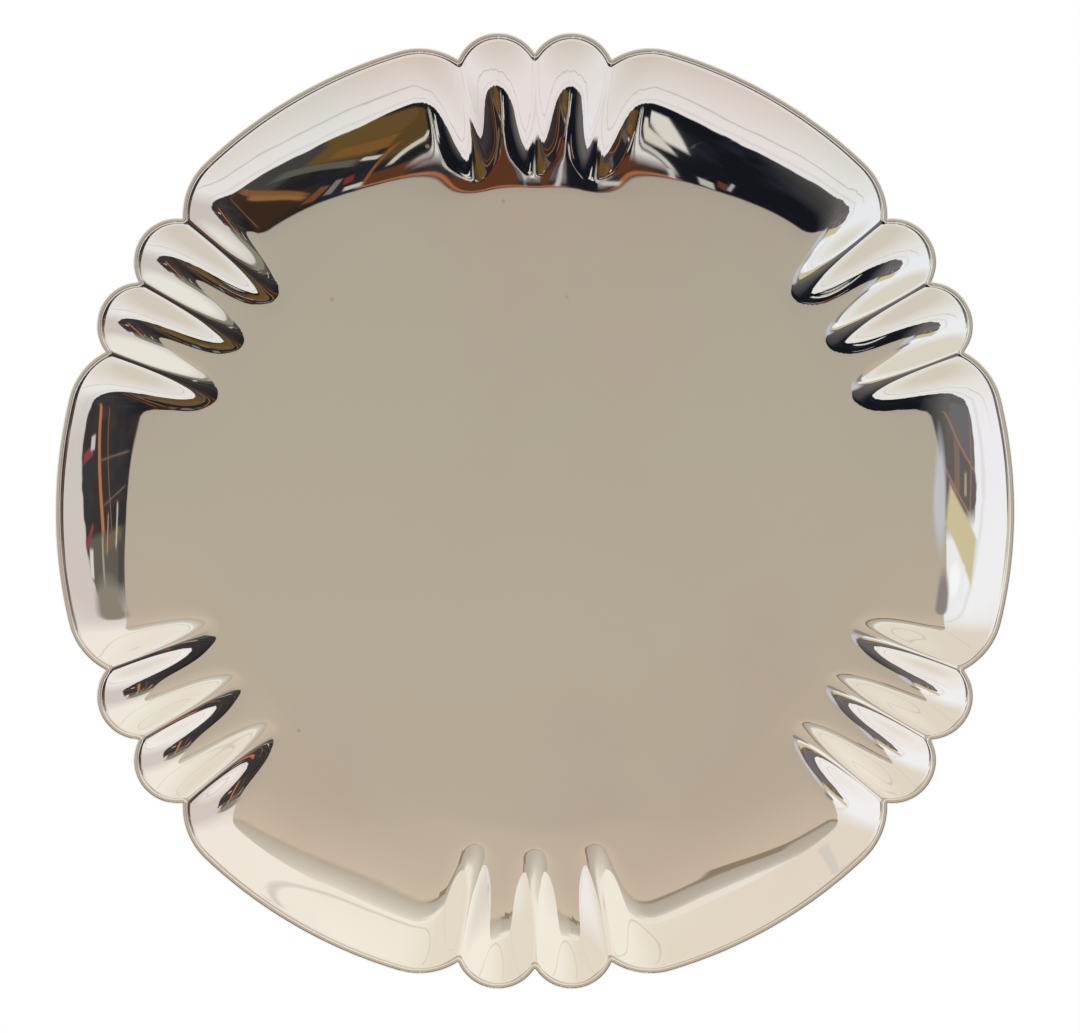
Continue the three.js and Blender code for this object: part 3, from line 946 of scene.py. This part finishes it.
# The room in plan: the middle is straight up, the horizon is 1 from it, and +Y is north.
# Each thing has its place, half size, slant in degrees and the tone that silver shows it in.
SHELF_GOODS = {
    "oak front": ((0.125, -0.300), (0.085, 0.055), -22, (104, 80, 44)),
    "oak lower": ((0.092, -0.252), (0.066, 0.014), -24, (126, 88, 44)),
    "oak end": ((0.040, -0.255), (0.016, 0.075), 8, (92, 70, 38)),
    "slate front": ((0.262, -0.312), (0.066, 0.052), -25, (68, 66, 62)),
    "slate ledge": ((0.165, -0.246), (0.085, 0.010), -25, (96, 92, 82)),
    "brown racks": ((0.245, -0.212), (0.130, 0.030), -46, (60, 42, 30)),
    "first rack": ((0.228, -0.236), (0.110, 0.004), -46, (134, 90, 52)),
    "second rack": ((0.262, -0.212), (0.110, 0.003), -46, (122, 86, 58)),
    "third rack": ((0.206, -0.206), (0.080, 0.003), -46, (150, 104, 62)),
    "pale books": ((0.066, -0.130), (0.018, 0.006), 0, (198, 192, 180)),
    "red books": ((0.083, -0.158), (0.009, 0.011), 10, (128, 52, 40)),
    "grey books": ((0.108, -0.150), (0.007, 0.020), -12, (124, 120, 116)),
    "brown books": ((0.132, -0.146), (0.009, 0.018), -20, (118, 74, 44)),
    "pale rail": ((0.066, -0.206), (0.018, 0.004), -30, (206, 200, 186)),
    "copper chest": ((0.024, -0.137), (0.024, 0.014), -4, (94, 57, 34)),
    "copper rail": ((0.024, -0.1195), (0.036, 0.0022), -2, (176, 106, 62)),
    "tall post": ((0.046, -0.172), (0.003, 0.044), -4, (146, 84, 46)),
    "cream side": ((0.022, -0.190), (0.0035, 0.030), -6, (212, 206, 186)),
    "first slit": ((0.005, -0.240), (0.0020, 0.094), 1, (216, 210, 198)),
    "second slit": ((-0.006, -0.238), (0.0042, 0.098), -1, (232, 226, 214)),
    "third slit": ((-0.017, -0.232), (0.0022, 0.098), -3, (214, 208, 198)),
    "low slit": ((-0.008, -0.128), (0.0020, 0.010), -10, (206, 200, 190)),
    "cream gap": ((-0.060, -0.262), (0.009, 0.055), -16, (228, 222, 208)),
    "cream corner": ((-0.034, -0.232), (0.006, 0.048), -10, (222, 214, 196)),
    "pale box": ((-0.050, -0.130), (0.012, 0.010), -8, (192, 186, 174)),
    "brown box": ((-0.082, -0.138), (0.010, 0.012), -20, (98, 60, 38)),
    "short slit": ((-0.098, -0.142), (0.003, 0.016), -32, (176, 174, 172)),
    "brown case": ((-0.395, -0.070), (0.016, 0.045), 4, (116, 78, 54)),
    "straw box": ((-0.448, -0.034), (0.007, 0.014), 0, (190, 172, 116)),
    "blue cloth": ((-0.440, -0.105), (0.075, 0.036), -14, (62, 68, 80)),
    "left wire": ((-0.420, -0.076), (0.100, 0.0018), -16, (178, 112, 70)),
    "low wire": ((-0.410, -0.020), (0.090, 0.0022), -22, (170, 110, 64)),
    "west post": ((-0.480, -0.020), (0.004, 0.090), -8, (150, 98, 58)),
    "thin post": ((0.410, -0.010), (0.0025, 0.120), 14, (146, 90, 54)),
    "orange post": ((0.476, -0.050), (0.009, 0.104), 16, (196, 118, 70)),
    "dusty shelf": ((0.440, 0.070), (0.110, 0.040), 4, (96, 91, 80)),
    "dusty edge": ((0.352, 0.090), (0.012, 0.050), -6, (74, 70, 63)),
    "dusty glass": ((0.452, 0.074), (0.006, 0.040), 8, (168, 162, 146)),
    "brown shelf": ((0.400, 0.040), (0.050, 0.009), 12, (116, 94, 74)),
    "upper wire": ((0.385, -0.020), (0.065, 0.0008), 12, (128, 112, 98)),
    "lower wire": ((0.390, -0.066), (0.090, 0.0008), 2, (128, 112, 98)),
    "first bottle": ((0.370, 0.018), (0.004, 0.030), -8, (196, 188, 172)),
    "second bottle": ((0.425, 0.030), (0.003, 0.026), -8, (176, 150, 118)),
    "white cup": ((0.532, 0.070), (0.012, 0.018), 0, (226, 220, 208)),
    "red edge": ((0.552, 0.042), (0.040, 0.005), 32, (150, 54, 57)),
    "red shelf": ((0.560, -0.074), (0.032, 0.007), 8, (140, 58, 62)),
    "pink cup": ((0.530, -0.087), (0.014, 0.009), 0, (214, 202, 200)),
}
CEILING_MARKS = {
    "cream door": ((-0.425, 0.028), (0.090, 0.030), -24, (208, 196, 154)),
    "white door": ((-0.395, 0.078), (0.050, 0.018), -8, (240, 238, 234)),
    "brown beam": ((-0.165, 0.270), (0.072, 0.012), -8, (142, 127, 103)),
    "left seam": ((-0.400, 0.470), (0.120, 0.007), -54, (213, 207, 195)),
}
# Ovals, each with its place, half size and the unevenness of its edge.
OVALS = {
    "wall seam": ((0.08, -0.05), (0.75, 0.42), 0.10),
    "window": ((0.13, 0.60), (0.26, 0.19), 0.06),
    "shelves": ((0.045, -0.065), (0.56, 0.30), 0.08),
    "ceiling": ((-0.004, 0.14), (0.33, 0.255), 0.04),
}
# Soft round patches, each with its place, half size and tone.
SMUDGES = {
    "dim corner": ((0.420, 0.122), (0.100, 0.040), (140, 134, 117)),
    "white flare": ((-0.385, 0.078), (0.034, 0.016), (252, 252, 250)),
    "mauve corner": ((-0.318, 0.096), (0.034, 0.026), (140, 132, 128)),
    "blue sheen": ((-0.300, -0.015), (0.032, 0.060), (196, 196, 200)),
}
# Tones of the plain parts of the room.
TONES = {
    "west wall": (246, 244, 243),
    "east wall": (212, 201, 191),
    "south wall foot": (221, 208, 190),
    "south wall": (242, 235, 227),
    "north wall left": (228, 217, 198),
    "north wall right": (242, 235, 220),
    "wall seam": (176, 168, 161),
    "window frame": (196, 188, 174),
    "west shelves": (22, 24, 29),
    "east shelves": (36, 34, 36),
    "shelf haze": (46, 52, 62),
    "shelf streaks": (84, 66, 52),
    "shelf border": (206, 203, 201),
    "west dust": (156, 147, 140),
    "east dust": (128, 118, 110),
}
# Tones of the ceiling from south to north, each with its place.
CEILING_SOUTH = ((-0.115, (176, 165, 147)), (-0.070, (183, 171, 152)), (0.060, (186, 172, 152)))
CEILING_WEST = (
    *CEILING_SOUTH,
    (0.262, (202, 185, 163)),
    (0.268, (146, 132, 110)),
    (0.276, (150, 138, 118)),
    (0.282, (176, 167, 151)),
    (0.330, (188, 180, 165)),
    (0.348, (206, 199, 186)),
    (0.356, (234, 227, 212)),
)
CEILING_EAST = (
    *CEILING_SOUTH,
    (0.250, (202, 185, 163)),
    (0.268, (182, 170, 151)),
    (0.340, (206, 197, 181)),
    (0.372, (222, 214, 199)),
    (0.380, (240, 233, 218)),
)


def lit(red, green, blue):
    """Light that polished silver shows on a screen as this colour."""
    light = screen(red, green, blue)
    return tuple(part / share for part, share in zip(light, SLOT_COLOURS["polished_silver"]))


def tone(name):
    """Light of a named plain part of the room."""
    return lit(*TONES[name])


class Room:
    """The surroundings, painted over the directions that the stand sees."""

    def __init__(self, wire):
        self.wire = wire
        direction = wire.node("ShaderNodeTexCoord", output="Generated")
        x = direction.parts()
        lift = 1 + x.math("MAXIMUM", x.beside("Z"), LOWEST_SIGHT)
        self.east = x / lift
        self.north = x.beside("Y") / lift
        self.plan = wire.vector(self.east, self.north, 0.0)
        self.wobble = wire.noise(direction, scale=7.0, detail=2.0) - 0.5
        self.ragged = wire.noise(direction, scale=22.0, detail=1.0) - 0.5

    def oval(self, centre, size, power=2):
        """Distance from the middle of an oval, where 1 is its edge; a higher power squares it off."""
        across = abs(self.east - centre[0]) / size[0]
        along = abs(self.north - centre[1]) / size[1]
        return (across ** power + along ** power) ** (1 / power)

    def outline(self, name, power=2):
        """The same for a named oval, whose edge is a little uneven."""
        centre, size, uneven = OVALS[name]
        return self.oval(centre, size, power) + self.wobble * uneven

    def slab(self, centre, size, slant, blur):
        """1 inside a slanted box and 0 outside it, with blur as a share of its half size."""
        inside = self.wire.node("ShaderNodeMapping", {"vector_type": "TEXTURE"}, {
            "Vector": self.plan, "Location": (*centre, 0), "Rotation": (0, 0, math.radians(slant)),
            "Scale": (*size, 1)})
        sides = self.wire.node("ShaderNodeVectorMath", {"operation": "ABSOLUTE"}, {0: inside})
        x = sides.parts()
        return x.math("MAXIMUM", x, x.beside("Y")).below(1, blur)

    def paint(self, under, things, blur):
        """Lays things, each in its own tone, over what is under them."""
        for centre, size, slant, shade in things.values():
            under = self.slab(centre, size, slant, blur).mix(under, lit(*shade))
        return under

    def walls(self):
        """Pale walls: white in the west, grey in the east and cream at the bright north end."""
        sides = self.east.climb(-0.5, slope=1).mix(tone("west wall"), tone("east wall"))
        south = self.north.climb(-0.72, slope=3).mix(tone("south wall foot"), tone("south wall"))
        north = self.east.climb(-0.2, slope=2).mix(tone("north wall left"), tone("north wall right"))
        walls = self.north.climb(-0.3, slope=5).mix(south, sides)
        walls = self.north.climb(0.12, slope=5).mix(walls, north)
        seam = self.outline("wall seam").near(1.0, reach=0.010, blur=0.012)
        seam = seam * self.north.below(-0.2, blur=0.2)
        walls = (seam * 0.6).mix(walls, tone("wall seam"))
        window = self.outline("window").near(1.0, reach=0.03, blur=0.04)
        return (window * 0.6).mix(walls, tone("window frame"))

    def shelves(self):
        """Dark shelves, black in the west and brown in the east, with dust at both ends."""
        side = (self.east * 4 + self.wobble * 0.5 + 0.3).clamp()
        dark = side.mix(tone("west shelves"), tone("east shelves"))
        dark = self.wobble.climb(0.0, slope=2.4).mix(dark, tone("shelf haze"))
        grain = self.wire.vector(self.east * 8, self.north * 30, 0.0)
        streak = self.wire.noise(grain, scale=1.0, detail=3.0)
        dark = (streak.climb(0.5, slope=1.6) * side).mix(dark, tone("shelf streaks"))
        goods = self.paint(dark, SHELF_GOODS, blur=0.25)
        goods = (self.east.climb(-0.2, slope=-7) * 0.40).mix(goods, tone("west dust"))
        return (self.east.climb(0.25, slope=6) * 0.12).mix(goods, tone("east dust"))

    def ramp(self, value, stops):
        """A colour by value, from stops that each have a value and the tone that silver shows."""
        low = stops[0][0]
        span = stops[-1][0] - low
        places = [((level - low) / span, lit(*shade)) for level, shade in stops]
        share = (value - low) / span
        return self.wire.node("ShaderNodeValToRGB", {"stops": places}, {"Fac": share}, "Color")

    def ceiling(self):
        """Warm grey overhead, with a grey band where it meets the bright end."""
        level = self.north + self.wobble * 0.02
        west = self.ramp(level, CEILING_WEST)
        east = self.ramp(level, CEILING_EAST)
        return (self.east * 8 + 0.5).clamp().mix(west, east)

    def colour(self):
        """The walls, with the shelves, the ceiling, its marks and the smudges laid over them."""
        edge = self.outline("shelves") + self.ragged * 0.05
        border = edge.near(1.09, reach=0.02, blur=0.03)
        view = (border * 0.4).mix(self.walls(), tone("shelf border"))
        shelf_top = (self.north - self.east * 0.10).below(0.06, blur=0.03)
        stocked = edge.below(1.0, blur=0.012) * shelf_top
        view = stocked.mix(view, self.shelves())
        overhead = self.outline("ceiling", power=4).below(1.0, blur=0.015)
        view = overhead.mix(view, self.ceiling())
        view = self.paint(view, CEILING_MARKS, blur=0.2)
        for centre, size, shade in SMUDGES.values():
            view = self.oval(centre, size).below(1.0, blur=0.5).mix(view, lit(*shade))
        return view


def studio_world():
    """A pale room with a warm grey ceiling and dark shelves along one side."""
    world = bpy.data.worlds.new("studio")
    bpy.context.scene.world = world
    world.use_nodes = True
    world.node_tree.nodes.clear()
    wire = Wire(world.node_tree)
    light = wire.node("ShaderNodeBackground", {}, {"Color": Room(wire).colour(), "Strength": 1.0})
    wire.node("ShaderNodeOutputWorld", {}, {"Surface": light})


class STAND_OT_stage(bpy.types.Operator):
    """Lay the floor, light the room and set up the camera"""

    bl_idname = "dessert_stand.stage"
    bl_label = "Stage"

    def execute(self, context):
        settings = context.scene.stand_stage
        clear_selection()
        bpy.ops.mesh.primitive_plane_add(size=settings.floor_size)
        floor = name_piece("floor")
        floor.data.materials.append(floor_white(settings.floor_glow, settings.floor_light))
        studio_world()
        height = RIM_HIGH.z + settings.camera_height
        spot = (settings.aim_right, settings.aim_up, height)
        bpy.ops.object.camera_add(location=spot, rotation=(0, 0, 0))
        camera = bpy.context.object
        camera.name = "camera"
        camera.data.sensor_width = SENSOR_WIDTH
        camera.data.lens = SENSOR_WIDTH * settings.camera_height / settings.view_width
        context.scene.camera = camera
        context.scene.view_settings.view_transform = "Standard"
        return {"FINISHED"}


# Add-on

class STAND_PT_panel(bpy.types.Panel):
    """Buttons that build the stand, piece by piece"""

    bl_label = "Dessert Stand"
    bl_idname = "STAND_PT_panel"
    bl_space_type = "VIEW_3D"
    bl_region_type = "UI"
    bl_category = "Stand"

    def draw(self, context):
        for operator in OPERATORS:
            self.layout.operator(operator.bl_idname)


OPERATORS = (
    STAND_OT_dish,
    STAND_OT_rim_wire,
    STAND_OT_boss,
    STAND_OT_stem,
    STAND_OT_foot,
    STAND_OT_fastening,
    STAND_OT_stage,
)
GROUPS = {
    "stand_dish": DishSizes,
    "stand_foot": FootSizes,
    "stand_fastening": FasteningSizes,
    "stand_finishes": Finishes,
    "stand_stage": StageSettings,
}


def register():
    for name, group in GROUPS.items():
        bpy.utils.register_class(group)
        setattr(bpy.types.Scene, name, bpy.props.PointerProperty(type=group))
    for operator in OPERATORS:
        bpy.utils.register_class(operator)
    bpy.utils.register_class(STAND_PT_panel)


def unregister():
    bpy.utils.unregister_class(STAND_PT_panel)
    for operator in reversed(OPERATORS):
        bpy.utils.unregister_class(operator)
    for name, group in reversed(GROUPS.items()):
        delattr(bpy.types.Scene, name)
        bpy.utils.unregister_class(group)


def main():
    register()
    bpy.ops.dessert_stand.dish()
    bpy.ops.dessert_stand.rim_wire()
    bpy.ops.dessert_stand.boss()
    bpy.ops.dessert_stand.stem()
    bpy.ops.dessert_stand.foot()
    bpy.ops.dessert_stand.fastening()
    bpy.ops.dessert_stand.stage()


if __name__ == "__main__":
    main()
